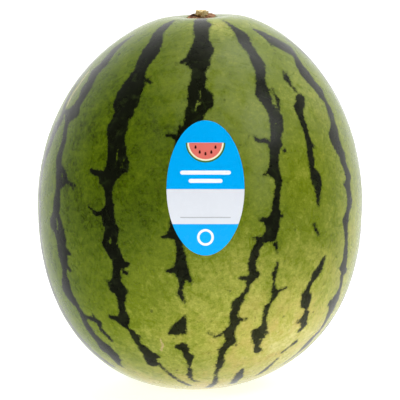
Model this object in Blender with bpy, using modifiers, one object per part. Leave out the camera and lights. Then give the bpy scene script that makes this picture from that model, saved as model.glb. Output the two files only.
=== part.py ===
"""A whole striped watermelon that stands on the flat spot at its blossom end.

Metres, +Z up. The origin is on the ground below the middle of the fruit, the stem end is up and
the oval sticker faces -Y. The fruit is one solid, the cut stem stub on it is another, and the
sticker is a third.
"""

import math

import bmesh
import bpy
from mathutils import Vector

# The fruit: two half outlines that meet at its waist, its widest level.
BODY_DIAMETER = 0.2088
WAIST_HEIGHT = 0.1187  # from the ground to the waist
CROWN_RISE = 0.1235  # from the waist to the top of the dome, before the hollow at the stem
CROWN_FULLNESS = 1.98  # exponent of the upper outline: 2 is an ellipse, more is boxier
BASE_FULLNESS = 2.26
REST_SPOT_DIAMETER = 0.040  # the flat spot that it stands on

# How it grew out of true.
CROWN_LEAN = 0.0030  # the crown leans to +X by this much
SHOULDER_TILT = 0.0018  # the right shoulder is this much higher than the middle
HEEL_SHIFT = 0.0045  # the base sits to -X by this much
TWO_LOBE_SWELL = 0.002  # how far the cross-section swells from a circle, as shares of its radius
THREE_LOBE_SWELL = 0.003

# The stem end: a wide shallow hollow, with a low corky collar that holds the stub.
STEM_OFFSET = 0.0012  # the stem grew this far to +X of the middle
HOLLOW_DEPTH = 0.0065
HOLLOW_SPREAD = 0.0165
COLLAR_HEIGHT = 0.0036
COLLAR_SPREAD = 0.0080
COLLAR_WAVE = 0.0026  # the collar stands higher at +X and -X than at the front and back

STUB_DIAMETER = 0.0078
STUB_HEIGHT = 0.0034  # above the middle of the collar
STUB_FOOT_FLARE = 0.0006
STUB_TOP_ROUND = 0.0008

LABEL_WIDTH = 0.0467  # straight across, from the front
LABEL_HEIGHT = 0.0800
LABEL_THICKNESS = 0.0002
LABEL_RISE = 0.0223  # from the waist to the middle of the sticker
LABEL_OFFSET = 0.0033  # to +X of the middle

CLEARANCE = 0.0003  # between pieces that touch

BODY_SEGMENTS = 64
CROWN_RINGS = 26
CROWN_RING_CROWDING = 1.4  # draws the rings together towards the hollow
BASE_RINGS = 14
STUB_SEGMENTS = 20
STUB_FOOT_RINGS = 4
LABEL_COLUMNS = 16
LABEL_ROWS = 26
MERGE_DISTANCE = 0.00001
SMOOTH_BELOW = math.radians(40)

# Each finish: colour (linear), roughness, metallic.
RIND_FINISH = ((0.15, 0.20, 0.03), 0.42, 0.0)
STEM_FINISH = ((0.62, 0.47, 0.22), 0.80, 0.0)
PAPER_FINISH = ((0.02, 0.42, 0.95), 0.35, 0.0)

BODY_RADIUS = BODY_DIAMETER / 2
REST_SPOT_RADIUS = REST_SPOT_DIAMETER / 2
# The base outline would run on to this depth below the waist if the ground did not flatten it.
BASE_DEPTH = WAIST_HEIGHT / (1 - (REST_SPOT_RADIUS / BODY_RADIUS) ** BASE_FULLNESS) ** (
    1 / BASE_FULLNESS
)


def clear_scene():
    for obj in list(bpy.data.objects):
        bpy.data.objects.remove(obj, do_unlink=True)


def new_collection(name):
    collection = bpy.data.collections.new(name)
    bpy.context.scene.collection.children.link(collection)
    return collection


def principled(name, finish):
    colour, roughness, metallic = finish
    material = bpy.data.materials.new(name)
    material.use_nodes = True
    shader = material.node_tree.nodes["Principled BSDF"]
    shader.inputs["Base Color"].default_value = (*colour, 1)
    shader.inputs["Roughness"].default_value = roughness
    shader.inputs["Metallic"].default_value = metallic
    return material


def half_outline(angle, height, fullness):
    """Radius and height of an outline point: angle 0 is the pole, a right angle the waist."""
    radius = BODY_RADIUS * math.sin(angle) ** (2 / fullness)
    return radius, height * math.cos(angle) ** (2 / fullness)


def body_profile():
    """The turned outline, from the pole at the top down its outer side to the flat spot."""
    quarter = math.pi / 2
    points = [(0.0, CROWN_RISE)]
    for ring in range(1, CROWN_RINGS):
        angle = quarter * (ring / CROWN_RINGS) ** CROWN_RING_CROWDING
        points.append(half_outline(angle, CROWN_RISE, CROWN_FULLNESS))
    spot_angle = math.asin((REST_SPOT_RADIUS / BODY_RADIUS) ** (BASE_FULLNESS / 2))
    for ring in range(BASE_RINGS + 1):
        angle = quarter + (spot_angle - quarter) * ring / BASE_RINGS
        radius, depth = half_outline(angle, BASE_DEPTH, BASE_FULLNESS)
        points.append((radius, -depth))
    points.append((0.0, -WAIST_HEIGHT))
    return points


def turned(name, profile, segments, collection):
    """A mesh object turned about Z from (radius, height) points that run down its outer side."""
    mesh = bpy.data.meshes.new(name + "_profile")
    points = [(radius, 0, height) for radius, height in profile]
    edges = [(i, i + 1) for i in range(len(points) - 1)]
    mesh.from_pydata(points, edges, [])
    lathe = bpy.data.objects.new(name + "_profile", mesh)
    collection.objects.link(lathe)
    screw = lathe.modifiers.new("Turn", "SCREW")
    screw.steps = screw.render_steps = segments
    screw.use_merge_vertices = True
    screw.merge_threshold = MERGE_DISTANCE
    graph = bpy.context.evaluated_depsgraph_get()
    solid = bpy.data.objects.new(name, bpy.data.meshes.new_from_object(lathe.evaluated_get(graph)))
    solid.data.name = name
    bpy.data.objects.remove(lathe, do_unlink=True)
    collection.objects.link(solid)
    return solid


def stem_end_rise(x, y):
    """How far the stem end's hollow and collar move the dome, up or down."""
    east = x - STEM_OFFSET
    distance = math.hypot(east, y)
    hollow = -HOLLOW_DEPTH * math.exp(-((distance / HOLLOW_SPREAD) ** 2))
    wave = COLLAR_WAVE * (east**2 - y**2) / COLLAR_SPREAD**2
    collar = (COLLAR_HEIGHT + wave) * math.exp(-((distance / COLLAR_SPREAD) ** 4))
    return hollow + collar


def grown(point):
    """Moves a point of the turned shape, with its waist at z = 0, to where the fruit grew."""
    x, y, z = point
    turn = math.atan2(y, x)
    swell = 1 + TWO_LOBE_SWELL * math.sin(2 * turn) + THREE_LOBE_SWELL * math.sin(3 * turn)
    x *= swell
    y *= swell
    if z > 0:
        share = min(z / CROWN_RISE, 1)
        z += SHOULDER_TILT * (x / BODY_RADIUS) * share**8
        x += CROWN_LEAN * share**2
        z += stem_end_rise(x, y)
    else:
        share = min(-z / BASE_DEPTH, 1)
        x -= HEEL_SHIFT * share**4
    return x, y, z + WAIST_HEIGHT


def dress(obj, material):
    obj.data.materials.clear()
    obj.data.materials.append(material)
    obj.data.shade_smooth()
    obj.data.set_sharp_from_angle(angle=SMOOTH_BELOW)


def make_melon(collection):
    melon = turned("melon", body_profile(), BODY_SEGMENTS, collection)
    for vertex in melon.data.vertices:
        vertex.co = grown(vertex.co)
    dress(melon, principled("rind", RIND_FINISH))
    return melon


def stub_profile():
    """The stub's outline about its own axis, from the middle of its cut top to its foot."""
    radius = STUB_DIAMETER / 2
    foot_radius = radius + STUB_FOOT_FLARE
    points = [(0.0, STUB_HEIGHT), (radius - STUB_TOP_ROUND, STUB_HEIGHT)]
    points.append((radius - 0.3 * STUB_TOP_ROUND, STUB_HEIGHT - 0.3 * STUB_TOP_ROUND))
    points.append((radius, STUB_HEIGHT - STUB_TOP_ROUND))
    points.append((radius, 0.4 * STUB_HEIGHT))
    for ring in range(STUB_FOOT_RINGS, -1, -1):
        points.append((foot_radius * ring / STUB_FOOT_RINGS, 0.0))
    return points


def make_stub(melon, collection):
    """The stub stands on the collar, and its foot follows the collar's surface."""
    stub = turned("stem_stub", stub_profile(), STUB_SEGMENTS, collection)
    above = WAIST_HEIGHT + 2 * CROWN_RISE
    down = Vector((0, 0, -1))
    _, seat, _, _ = melon.ray_cast(Vector((STEM_OFFSET, 0, above)), down)
    for vertex in stub.data.vertices:
        is_foot = vertex.co.z < MERGE_DISTANCE
        vertex.co.x += STEM_OFFSET
        vertex.co.z += seat.z
        if is_foot:
            _, hit, _, _ = melon.ray_cast(Vector((vertex.co.x, vertex.co.y, above)), down)
            vertex.co.z = hit.z + CLEARANCE
    dress(stub, principled("dried_stem", STEM_FINISH))
    return stub


def make_label(melon, collection):
    """An oval sheet in front of the fruit, wrapped back onto it and given its thickness."""
    mesh = bpy.data.meshes.new("label")
    shaper = bmesh.new()
    bmesh.ops.create_grid(shaper, x_segments=LABEL_COLUMNS, y_segments=LABEL_ROWS, size=1)
    for vertex in shaper.verts:
        across, up, _ = vertex.co
        # The square grid's sides bow out into an oval, with no stretched corners.
        oval_across = across * math.sqrt(1 - up**2 / 2)
        oval_up = up * math.sqrt(1 - across**2 / 2)
        vertex.co = (
            LABEL_OFFSET + oval_across * LABEL_WIDTH / 2,
            -BODY_DIAMETER,
            WAIST_HEIGHT + LABEL_RISE + oval_up * LABEL_HEIGHT / 2,
        )
    shaper.to_mesh(mesh)
    shaper.free()
    label = bpy.data.objects.new("label", mesh)
    collection.objects.link(label)
    wrap = label.modifiers.new("Onto the fruit", "SHRINKWRAP")
    wrap.target = melon
    wrap.wrap_method = "PROJECT"
    wrap.use_project_y = True
    wrap.wrap_mode = "ABOVE_SURFACE"
    wrap.offset = CLEARANCE
    paper = label.modifiers.new("Paper", "SOLIDIFY")
    paper.thickness = LABEL_THICKNESS
    paper.offset = 1
    dress(label, principled("printed_paper", PAPER_FINISH))
    return label


def main():
    clear_scene()
    collection = new_collection("watermelon")
    melon = make_melon(collection)
    make_stub(melon, collection)
    make_label(melon, collection)


if __name__ == "__main__":
    main()
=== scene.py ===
"""Looks for a whole striped watermelon: its rind, the dried stem stub and the oval sticker.

Metres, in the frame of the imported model: +Z up, the stem end is up and the sticker faces -Y.
Places on the rind are given as (longitude, height): degrees from the front, growing to +X, and
millimetres above the ground on the turned outline, before the fruit grows out of true.
"""

import math
import random

import bmesh
import bpy
import numpy as np
from mathutils import Matrix, Vector, noise


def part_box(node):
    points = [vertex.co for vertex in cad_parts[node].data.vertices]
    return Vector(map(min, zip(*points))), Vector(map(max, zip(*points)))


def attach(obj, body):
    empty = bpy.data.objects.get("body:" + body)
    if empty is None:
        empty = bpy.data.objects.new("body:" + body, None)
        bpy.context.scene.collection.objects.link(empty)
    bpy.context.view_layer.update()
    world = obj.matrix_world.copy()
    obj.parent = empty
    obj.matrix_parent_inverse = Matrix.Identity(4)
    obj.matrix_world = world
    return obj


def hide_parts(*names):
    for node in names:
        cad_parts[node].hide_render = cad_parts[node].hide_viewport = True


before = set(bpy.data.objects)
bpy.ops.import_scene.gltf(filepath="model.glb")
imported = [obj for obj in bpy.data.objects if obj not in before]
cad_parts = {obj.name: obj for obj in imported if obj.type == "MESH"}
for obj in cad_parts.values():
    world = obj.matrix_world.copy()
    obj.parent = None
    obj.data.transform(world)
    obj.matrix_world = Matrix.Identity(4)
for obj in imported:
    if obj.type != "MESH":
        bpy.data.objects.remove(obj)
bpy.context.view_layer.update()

bl_info = {
    "name": "Striped Watermelon",
    "version": (1, 0, 0),
    "blender": (4, 5, 0),
    "location": "View3D > Sidebar > Watermelon",
    "description": "Builds a whole striped watermelon with its stem stub and its sticker",
    "category": "Object",
}

BODY = "root"
STUB_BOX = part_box("stem_stub")
LABEL_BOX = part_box("label")

MM = 0.001

# The fruit's own outline and growth, as the model's source has them.
BODY_RADIUS = 0.1044
WAIST_HEIGHT = 0.1187
CROWN_RISE = 0.1235
CROWN_FULLNESS = 1.98
BASE_FULLNESS = 2.26
REST_SPOT_RADIUS = 0.020
CROWN_LEAN = 0.0030
SHOULDER_TILT = 0.0018
HEEL_SHIFT = 0.0045
TWO_LOBE_SWELL = 0.002
THREE_LOBE_SWELL = 0.003
STEM_OFFSET = 0.0012
HOLLOW_DEPTH = 0.0065
HOLLOW_SPREAD = 0.0165
COLLAR_HEIGHT = 0.0036
COLLAR_SPREAD = 0.0080
COLLAR_WAVE = 0.0026
BASE_DEPTH = WAIST_HEIGHT / (1 - (REST_SPOT_RADIUS / BODY_RADIUS) ** BASE_FULLNESS) ** (
    1 / BASE_FULLNESS
)

# Painted shade: the cork round this point is painted almost black for the shade in the corner by
# the stub.
STUB_CORNER_SHADE = (-0.0032, -0.0018, 0.2385)  # the cork is almost black in the corner by the stub
REACH = 9.0  # how far from an outline its depth is worked out, in mm
VIEW_HEIGHT_ANGLE = 8.0  # degrees above the horizon
PRINT_SLOPE = VIEW_HEIGHT_ANGLE  # the print is straight when seen from there
SLICE_TOP = 28  # from the middle of the sticker to the straight side of its slice, in mm

# Dark stripes of the front: (height, left edge, right edge) from the top down.
STRIPES = {
    "far_left": (
        (212, -87, -84), (200, -84, -80), (190, -81, -77), (183, -79, -75), (180, -76, -72),
        (175, -76, -70), (170, -79, -72), (165, -78, -73), (160, -79, -73), (155, -79, -74),
        (150, -81, -75), (140, -80, -77), (130, -81, -77), (121, -77.5, -75), (112, -79, -76),
        (100, -80, -77), (88, -80, -76.5), (75, -79, -75), (60, -77, -73), (45, -73, -69),
        (30, -68, -63), (18, -60, -54),
    ),
    "left": (
        (228, -68, -67), (220, -72, -64), (215, -69.5, -62), (210, -68.5, -59.5),
        (205, -71, -61.5), (200, -67, -60), (195, -67, -58.5), (190, -64.7, -59.3),
        (185, -66, -60), (180, -71, -57.5), (175, -66.7, -63), (170, -65.3, -62.4),
        (165, -63.5, -60), (160, -63, -60.2), (155, -64, -60), (150, -63.5, -59.2),
        (146, -62, -54.7), (143, -61.5, -53.5), (140, -60.5, -52.5), (137, -60.3, -55),
        (135, -60.3, -57.4), (130, -60.8, -57), (125, -61.2, -56.2), (120, -61.5, -57),
        (117, -62.5, -56.5), (115, -64, -55.5), (110, -64, -53.7), (107, -61.2, -53.8),
        (105, -60.2, -53.2), (102, -59.5, -53), (100, -59.3, -54.2), (97, -59.3, -53.5),
        (95, -59.3, -52.8), (92, -59.3, -53.4), (90, -59, -53.6), (87, -58.1, -53.7),
        (85, -58, -54.6), (82, -58, -55.3), (80, -58.6, -55.3), (75, -60.3, -54.4),
        (70, -61.2, -54.6), (67, -60.5, -54), (65, -59.5, -53), (62.5, -57.1, -52.1),
        (60, -54.8, -52.2), (57, -53.8, -50.8), (54, -53.6, -49.5), (52, -53.9, -50.6),
        (50, -54.2, -50.3), (47, -53.8, -49.5), (43, -52.9, -48.2), (40, -51.8, -46.3),
        (37, -51.1, -43.9), (34, -51.4, -42.4), (32, -51.5, -41.2), (30, -49, -40.4),
        (27, -47.7, -41.2), (24, -47.5, -43.5), (22, -47, -44.5), (20.3, -45, -43.5),
    ),
    "inner_left": (
        (238, -46, -44), (235, -48, -38), (230, -45, -35), (225, -40, -29), (220, -39.5, -27),
        (215, -38, -29), (210, -36.5, -29.5), (205, -37.3, -29), (200, -39, -27),
        (195, -39.5, -27.5), (190, -39.5, -27), (187, -38.5, -27.9), (184, -37, -27.8),
        (180, -37.1, -29.3), (177, -38, -29), (175, -38.3, -28.9), (170, -37.3, -29.5),
        (165, -35.7, -28), (160, -34.9, -27.4), (157, -34.8, -26), (153, -34.8, -25.6),
        (150, -35.2, -25.8), (149, -35, -28), (147, -35, -28.9), (145, -37.5, -30),
        (142, -36.5, -30.5), (140, -35.2, -31), (137, -34.2, -31), (135, -33.9, -31.3),
        (130, -33.3, -30.4), (127, -34, -30.3), (125, -34.5, -30), (122, -35, -30),
        (120, -34.8, -29.7), (117, -34.4, -28.7), (115, -33.9, -27.9), (112, -34, -28.4),
        (110, -34.1, -28.7), (107, -34.9, -28.9), (105, -35.3, -28.6), (102, -34, -28),
        (100, -33, -27.5), (97, -32, -26.9), (95, -31.3, -26.2), (92, -30.9, -26),
        (90, -31, -27.8), (87, -31.1, -28.1), (85, -31.5, -28.3), (82, -33, -28.3),
        (80, -34, -27.4), (77, -33.5, -26.3), (75, -33, -25.8), (74, -31.6, -27),
        (70, -31, -27.6), (67, -31, -28.4), (63, -31.1, -28.5), (60, -31.6, -27.6),
        (57, -33, -27.5), (55, -33.1, -27.7), (53, -31.6, -28.7), (51, -29.4, -28.1),
        (50, -28.7, -26.4), (47, -28.1, -26.2), (45, -27.8, -24.9), (43, -27.6, -25),
        (41, -27, -24.1), (39, -26.4, -22.7), (36, -26.1, -20.9), (34, -25.3, -18.7),
        (32.5, -25.5, -17.8), (30, -25.3, -19.4), (28, -25.1, -19.2), (26, -24.9, -20.5),
        (25.2, -24, -21),
    ),
    "middle": (
        (241.3, -14, 4), (239.5, -13, 3), (238, -12, 2.5), (236.5, -11, 5), (235.5, -10.5, 8.5),
        (234.5, -10, 6), (233, -9.4, 4), (230, -7.8, 3.4), (227, -6.8, 3), (225, -7.3, 5.6),
        (222, -8, 6.3), (220, -8.7, 5.8), (217, -9.2, 3.9),
        (213, -9, 3.3), (210, -5.4, 2), (208, -5.3, 1.2), (205, -5.2, 1.7), (200, -6.1, 1),
        (198, -6.1, 3), (196, -6, 4.5), (190, -5.8, 4.8), (187.5, -6.2, 3), (186, -6.5, 2),
        (184, -6.7, 1), (180, -6.6, 0), (177, -7.1, -0.5), (175, -8.9, -1), (172, -8, -1),
        (168, -9.3, -1.5), (160, -9, -2), (150, -8.5, -2.5), (140, -9, -3), (130, -9.5, -3),
        (122, -9.8, -4), (119, -9.8, -5), (116, -10.5, -5.5), (113, -11.5, -6),
        (110.5, -8.3, -6), (108, -8, -5.8), (105, -7.9, -5.6), (103, -7.8, -5.1),
        (100, -7.8, -4.7), (97, -8.4, -4.5), (95, -8.6, -4.2), (92, -8.8, -3.9),
        (90, -8.6, -3.6), (88, -7.6, -3.3), (86, -7.4, -3), (85, -7.3, -5.2), (80, -7, -6),
        (77.5, -7.7, -5.8), (76, -7.8, -5.6), (74, -6.6, -5.4), (72, -5.9, -5.2), (71, -5.3, -5.1),
    ),
    "middle_island": (
        (62.6, -5.5, -5.3), (61, -6, -5.1), (59.3, -7.2, -5), (57.1, -9, -5.1),
        (54.6, -10.2, -5.1), (51.8, -11.6, -5.2), (50.2, -12.2, -5.3), (49.6, -12, -8),
    ),
    "middle_low": (
        (43.4, -7, -6), (42.2, -8.4, -4.8), (41, -9.7, -4.4), (40, -9.6, -4.3),
        (38.4, -7.5, -4.2), (36.5, -6.5, -4.1), (35, -6.3, -2.6), (33.3, -6.1, -1.95),
        (31.5, -5.2, -2.1), (30.2, -4.9, -2.6), (27.8, -4.8, -3.3), (24.8, -4.3, -3.2),
        (21.8, -4.6, -2.8), (20, -4.9, -2.5), (18.5, -5, -2.7), (16, -4, -2.2),
        (14.5, -2.8, -1.4), (13.2, -1.5, 0),
    ),
    "inner_right": (
        (238, 24.5, 26), (235, 26, 29), (230, 26.5, 36), (225, 24.7, 33.7), (220, 27, 33),
        (215, 27, 34.3), (212, 27.3, 34.5), (210, 27.5, 33.5), (205, 26.3, 31), (200, 25, 30.3),
        (196, 23.6, 30.7), (192, 25, 31), (190, 26, 30.5), (185, 27.5, 32.2), (182, 27.9, 33.8),
        (180, 27.3, 33.5), (175, 27.3, 32.8), (170, 26.8, 31.2), (165, 25.6, 30.7),
        (162, 25.7, 29.6), (160, 25.5, 29), (155, 25, 28.6), (152, 24, 28.6), (150, 23.4, 28.7),
        (148, 24.5, 28.6), (146, 26.3, 28.6), (144, 26.7, 29.4), (141, 26.8, 28.8),
        (138, 26, 28), (134, 25.5, 27.8), (130, 24.8, 27.5), (127, 25, 27.6), (124, 24.1, 28.2),
        (122, 22.8, 27.9), (120, 21.7, 27.6), (117, 22.5, 27.5), (115, 22.9, 27.2),
        (112, 21.6, 26.8), (111, 20.6, 26.7), (110, 19, 26.5), (109, 19.1, 26.4),
        (108, 19, 25.9), (107.4, 19, 22),
    ),
    "inner_right_low": (
        (108, 19, 24), (107, 18.8, 21.9), (105, 17.9, 20.9), (102, 17.5, 20.3), (100, 17.2, 20),
        (97, 16.6, 19.5), (95, 16.5, 19.2), (92, 16.7, 19.1), (90, 16.8, 19.8),
        (87.8, 16.9, 20.9), (86, 16.3, 19.8), (84, 16, 18.6), (82, 16.1, 17.7), (80, 16.3, 17.4),
        (77, 15.6, 16.9), (76, 14.9, 15.9), (74, 13.6, 15.7), (71.7, 12.1, 15.6),
        (70.4, 11.4, 15.4), (68.7, 11.7, 14.7), (66.7, 11.8, 14.2), (64.6, 11.5, 13.9),
        (63.5, 11.3, 13.8), (61.5, 11.3, 14.2), (60, 11.3, 14.6), (58.2, 11.5, 15),
        (56.5, 11.6, 14.8), (55.3, 11.5, 14.3), (53.7, 10.7, 14.1), (52, 9.8, 14),
        (49.7, 9.8, 13.8), (48, 10.3, 14), (46.2, 10.7, 14.6), (44.5, 10.8, 14.9),
        (42.7, 10.2, 15.4), (41.3, 10.1, 13.4), (40, 9.4, 12.6), (38.4, 8.4, 12.3),
        (37, 9.1, 12), (35.1, 9.1, 11.7), (31.5, 9.1, 11.6), (29.8, 9.2, 12.2),
        (27.8, 9.1, 12.3), (25.8, 9.3, 12.2), (23.8, 9.6, 11.6), (21.8, 9.7, 11.1),
        (20, 10.1, 11), (17.9, 10.3, 11.3), (15.7, 10.7, 12.9), (13.5, 11.3, 13.5),
        (11.2, 11.4, 14.6), (8.5, 10.5, 15), (6, 10, 14),
    ),
    "inner_right_strand": (
        (108, 24.5, 26.5), (107, 25.2, 26.7), (105, 25.9, 27.1), (103, 26.3, 27.1),
        (101.5, 26.7, 27),
    ),
    "right_strand": (
        (94.8, 27, 27.6), (92.5, 26.6, 27.7), (90, 26.2, 27.6), (88, 25.6, 27.2), (85, 26, 26.8),
        (82, 26.1, 26.8), (80, 26.2, 26.9), (78, 26, 27.4), (76.5, 26, 29), (75, 25.9, 29.2),
        (73.7, 26.3, 28.7), (71.6, 26.1, 28), (70, 25.9, 27.3), (68.3, 25.4, 26.7),
        (66.7, 24.3, 26.3), (65, 24.4, 26), (63, 24.2, 25.7), (59.3, 24.5, 25.7),
        (57.2, 24.4, 25.9), (55.2, 24.6, 26.6), (53.5, 24.4, 26.6), (52.3, 23.2, 27),
        (51.5, 22.6, 27.5), (50.3, 21.1, 27.2), (49.2, 21.2, 27.2), (47.4, 21.5, 27),
        (45.7, 21.9, 27.4), (43.9, 22.6, 26.6), (42.3, 23.4, 26.6), (40.7, 24.2, 26.5),
        (39, 24.6, 26.5), (37.3, 25.2, 27.9), (36, 25.4, 28.9), (34.7, 26.2, 28.3),
        (34, 26.8, 27.8),
    ),
    "right_strand_foot": (
        (22.5, 24.2, 24.8), (20.6, 23.4, 25.8), (17.8, 23.1, 26.8), (15.5, 23.6, 29.3),
        (12.5, 24.6, 29.9), (10.5, 25.5, 30.5), (8.7, 27, 32),
    ),
    "right": (
        (194, 46, 48), (192, 44.5, 49.6), (190, 43.5, 48.7), (187, 41, 47.6), (184, 41.6, 45.4),
        (180, 41.8, 44.8), (175, 42.1, 44.8), (170, 42.6, 44.7), (165, 42.5, 45.2),
        (160, 41.8, 44.6), (155, 41.9, 44.7), (150, 41.8, 44.1), (147, 42.1, 46.3),
        (144, 41.8, 46.6), (140, 42.8, 47), (135, 43.5, 46), (130, 43.6, 45.3), (127, 44.2, 44.9),
    ),
    "right_low": (
        (94.6, 48.6, 49.2), (92.2, 47.2, 48.8), (90, 46.5, 48.4), (87, 45, 48.3),
        (85, 43.2, 47.6), (82, 43.1, 46.3), (80, 42.9, 44.6), (77.5, 41.8, 43.6),
        (75, 41.3, 43.2), (72.5, 39.7, 43.5), (72, 39.7, 44.1), (69.7, 40.1, 45.1),
        (67, 40.2, 45.3), (64.8, 41, 45), (63, 41.1, 45), (61.8, 43.3, 44.9),
        (60.5, 43.8, 45.2), (59, 43.8, 46.1), (57.3, 44.2, 46.6), (56, 43, 46.4),
        (54.3, 43.5, 46.9), (53, 42.5, 47.1), (51.7, 44.1, 47.6), (50, 45, 48.4),
        (48.5, 45.3, 47.4), (47, 44.6, 46.6), (45.6, 44.8, 45.4),
    ),
    "far_right": (
        (232, 48.5, 50.5), (230, 49, 57), (227, 49.5, 61), (225, 49.5, 65), (222, 52, 68),
        (220, 55, 70), (217, 60, 68), (215, 62, 66), (210, 57.5, 64), (205, 56, 65),
        (200, 57.5, 64.5), (195, 60.3, 67.7), (190, 61.4, 65.3), (187, 63.3, 66),
        (183, 62.5, 66.5), (180, 62.5, 66.5), (175, 61.5, 65.6), (170, 58.4, 65),
        (167, 56.7, 64), (163, 57, 64), (160, 58, 64), (155, 60.5, 65.8), (150, 61, 64.5),
        (145, 62.6, 66.5), (140, 63, 67.5), (137, 60.5, 66), (135, 61.8, 65.5),
        (130, 62.5, 66.2), (125, 62.6, 66.8), (122, 62.2, 66), (120, 61.2, 64.3),
        (117, 59.9, 63.4), (115, 58.8, 63.4), (112, 59.2, 63), (110, 60, 62.8),
        (107, 60.4, 62.9), (105, 60.8, 63.3), (102, 61.2, 63.5), (100, 61.6, 63.8),
        (97, 61.5, 64), (95, 61.3, 64.5), (90, 61.6, 64.9), (87, 60.8, 65.2), (84.5, 59.3, 65.4),
        (82, 61.5, 66.5), (80, 62.5, 67.2), (78, 62, 64), (75, 63.2, 65.5), (72, 63.8, 66),
        (70, 64, 66.4), (67, 62.5, 66), (66, 61.9, 66.9), (63, 59.4, 67), (61, 58.5, 67.8),
        (59.8, 59, 67.2), (58.8, 60.7, 67), (56.3, 61.7, 67.3), (54, 61.7, 67.5),
        (52, 62, 66.7), (50.5, 62.7, 66.2), (47.5, 63.2, 66.5), (45, 63.6, 66.4),
        (42.3, 64, 65.6), (40, 61.8, 65.7), (38, 60.2, 64), (35, 59.3, 64), (32.5, 58.8, 64.6),
        (31, 58.5, 64), (29.5, 59.3, 62), (27, 59.1, 61), (25, 58, 60), (20, 55, 57),
    ),
    "right_side": (
        (225, 79, 81.5), (216, 82, 86.5), (207, 84.5, 88.5), (198, 84, 91), (190, 86, 89.5),
        (180, 85, 91.5), (170, 87.3, 90.3), (160, 85, 91), (150, 86, 89), (140, 84, 90.5),
        (130, 85.5, 88.5), (119, 83.5, 89.5), (110, 83.5, 86), (100, 80.5, 87), (90, 82.5, 85.2),
        (80, 79.5, 86), (70, 80.5, 83.2), (60, 77, 83), (50, 77.5, 79.8), (42, 73, 79.5),
        (35, 72.5, 75), (22, 65, 67.5),
    ),
}

# Spurs, strands and flecks beside the stripes: runs of (longitude, height, half width in mm).
SPURS = (
    ((45.7, 207, 0.6), (44.9, 202.4, 0.7), (44.9, 198.9, 0.6), (46, 195.8, 0.8)),
    ((85, 186, 1.5), (83.2, 187.5, 0.6)),
    ((91, 158, 1.7), (92.8, 156, 0.7)),
    ((85, 118, 1.6), (82.2, 116.5, 0.7)),
    ((83, 84, 1.7), (86.8, 82, 0.8)),
    ((20.3, 171, 0.5), (22.1, 168.5, 0.7), (26.1, 167.6, 1.0)),
    ((-52.8, 139.3, 0.9), (-48.5, 138.5, 0.8), (-49.5, 137, 0.5)),
    ((-74, 180, 1.4), (-70, 180, 1.4)),
    ((-53, 96, 2.0), (-51.2, 95.5, 0.6)),
    ((-54, 87, 1.0), (-52.6, 84.5, 1.0)),
    ((-51, 55, 1.2), (-47.6, 54.5, 1.3), (-44.8, 53.6, 1.9), (-43, 52.4, 1.9), (-43.4, 49, 1.3),
     (-42.4, 45.9, 1.5), (-41, 43.6, 1.4), (-40, 41.3, 0.8), (-39.3, 40.2, 0.4)),
    ((-45, 54.5, 1.0), (-45.3, 57.5, 0.4)),
    ((-29.5, 205, 1.6), (-24, 202.3, 0.5)),
    ((-34, 147, 3.0), (-41.3, 148.5, 1.3)),
    ((-34.3, 124.7, 2.0), (-37.6, 123.2, 1.1), (-39.3, 125.5, 0.7), (-41, 127.5, 0.3)),
    ((-27, 94, 1.6), (-24.6, 93.7, 0.5)),
    ((-27.3, 88.5, 0.9), (-26, 88, 0.9)),
    ((-31.5, 57.5, 2.0), (-34.1, 57.3, 1.5), (-35.8, 57.7, 1.4)),
    ((-34, 81.5, 0.8), (-35, 82.5, 0.4)),
    ((-26, 47, 1.0), (-24.7, 46.8, 0.5)),
    ((-19.6, 28, 0.9), (-18.8, 26.3, 0.9), (-17.5, 23.6, 0.8), (-15.6, 20.4, 0.8),
     (-13.5, 17.2, 0.8), (-10.7, 13.9, 0.8), (-8, 11.7, 1.1), (-5.4, 10, 1.0), (-3, 8.3, 0.5)),
    ((-4.2, 87, 1.3), (-3.3, 85, 1.2), (-2.7, 83.5, 0.5)),
    ((-9, 216, 1.5), (-12, 214, 0.5)),
    ((-14.5, 213.6, 0.8),),
    ((-7.5, 171, 2.0), (-14, 172.7, 0.3)),
    ((-9.5, 112.5, 1.5), (-12.4, 112, 0.5)),
    ((-8.7, 91, 1.6), (-11.5, 91, 0.4)),
    ((-1, 14, 0.6), (2, 12.8, 0.3)),
    ((22, 121.5, 1.5), (20.2, 121.8, 0.5)),
    ((20.5, 110.4, 1.3), (17.9, 110.5, 0.5)),
    ((28, 124, 0.8), (28.5, 123, 0.8)),
    ((24.5, 168.5, 1.0), (20.8, 168.8, 0.6)),
    ((23.6, 149.8, 1.2), (22.6, 148.4, 0.5)),
    ((17, 86.5, 1.3), (14.2, 86.3, 1.1)),
    ((14.5, 58.8, 1.1), (16.4, 58.9, 0.7), (17.5, 59.2, 0.3)),
    ((10, 51, 1.2), (9.2, 50.6, 0.9), (7.7, 48.6, 0.7), (6.6, 47.9, 0.7), (4.8, 49.4, 0.6),
     (3.6, 51.3, 0.3)),
    ((15, 42.8, 0.8), (15.7, 41, 0.4)),
    ((32.8, 198, 0.7), (33.6, 192, 0.9), (33, 186, 0.7)),
    ((28.3, 76, 1.0), (30, 77, 0.8), (31.8, 77.3, 0.5)),
    ((27.3, 49, 0.7), (28.3, 48.2, 0.5)),
    ((44, 208, 0.5), (43.2, 203, 1.3), (45, 198, 0.6), (45.5, 196, 0.5)),
    ((44.8, 164.5, 1.2), (46.3, 162.3, 0.5)),
    ((42.4, 116, 0.7), (43.2, 113, 1.0), (44.5, 109.5, 0.8)),
    ((43, 53, 0.9), (41.7, 53, 0.6)),
    ((50.5, 225.5, 1.0), (49, 222, 0.6)),
    ((47.6, 38.5, 1.2), (46.8, 37.4, 1.2), (45.5, 35.5, 0.6), (42.7, 31.7, 0.5)),
    ((43.2, 27, 0.5), (42.5, 24, 0.8), (42.3, 21.5, 1.5), (42.6, 18, 1.4), (41.5, 14.5, 0.9)),
    ((31.6, 162, 1.0),),
    ((-26, 205.5, 0.7),),
    ((-57, 217, 0.8),),
    ((-8, 178, 0.6),),
)

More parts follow.
